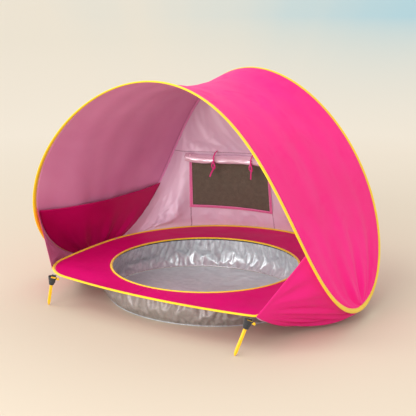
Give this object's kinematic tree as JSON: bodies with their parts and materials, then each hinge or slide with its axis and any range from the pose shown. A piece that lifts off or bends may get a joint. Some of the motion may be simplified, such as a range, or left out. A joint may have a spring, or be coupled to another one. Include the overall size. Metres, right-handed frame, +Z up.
{
  "type": "pop-up beach tent with paddling pool",
  "caption": "Small pop-up sun shelter: saddle-shaped canopy on a spring-steel hoop over a fabric deck ring with a shallow pool, rear mesh window and two stakes.",
  "frame": {"origin": "centre of the pool's underside, on the ground", "axes": "+Z up, -Y towards the mouth, +X to the right of someone looking into the mouth"},
  "size_m": [1.1114, 0.9119, 0.734],
  "materials": {
    "outer_cloth": "satin",
    "pocket_cloth": "satin",
    "casing": "matte",
    "spring_steel": "satin",
    "ferrule": "satin",
    "lining": "silver-coated",
    "mesh": "matte",
    "pink_tape": "matte",
    "pool_cloth": "silver-coated",
    "stake_plastic": "gloss",
    "webbing": "matte"
  },
  "bodies": {
    "rear_frame": {"canopy": "outer_cloth", "side_wall_left": "outer_cloth", "side_wall_right": "outer_cloth", "deck": "outer_cloth", "pocket_left": "pocket_cloth", "pocket_right": "pocket_cloth", "rear_arch_casing": "casing", "floor_ring_rear_casing": "casing", "pool_trim": "casing", "rear_arch_wire": "spring_steel", "floor_ring_rear_wire": "spring_steel", "hoop_ferrule_left": "ferrule", "hoop_ferrule_right": "ferrule", "ring_ferrule_left": "ferrule", "ring_ferrule_right": "ferrule", "rear_wall": "lining", "side_apron_left": "lining", "side_apron_right": "lining", "window_cover_roll": "lining", "window_mesh": "mesh", "window_binding": "pink_tape", "window_tie_left": "pink_tape", "window_tie_right": "pink_tape", "pool_wall": "pool_cloth", "pool_floor": "pool_cloth"},
    "front_frame": {"front_arch_wire": "spring_steel", "front_arch_casing": "casing", "floor_ring_front_wire": "spring_steel", "floor_ring_front_casing": "casing", "webbing_loop_left": "webbing", "webbing_loop_right": "webbing", "webbing_strap_left": "webbing", "webbing_strap_right": "webbing"},
    "stake_left": {"stake_left": "stake_plastic"},
    "stake_right": {"stake_right": "stake_plastic"}
  },
  "joints": [
    {"name": "taco_fold", "type": "hinge", "parent": "rear_frame", "child": "front_frame", "pos_m": [0, 0.063, 0.109], "axis": [-1, 0, 0], "range_deg": [0, 32], "deforming": ["canopy", "deck", "pool_trim", "pool_wall", "pool_floor", "side_wall_left", "side_wall_right", "side_apron_left", "side_apron_right", "pocket_left", "pocket_right"]},
    {"name": "stake_left_pull", "type": "slide", "parent": "front_frame", "child": "stake_left", "axis": [0.2911, -0.0939, 0.9521], "range_m": [0, 0.13]},
    {"name": "stake_right_pull", "type": "slide", "parent": "front_frame", "child": "stake_right", "axis": [0.2474, 0.2749, 0.9291], "range_m": [0, 0.13]}
  ]
}
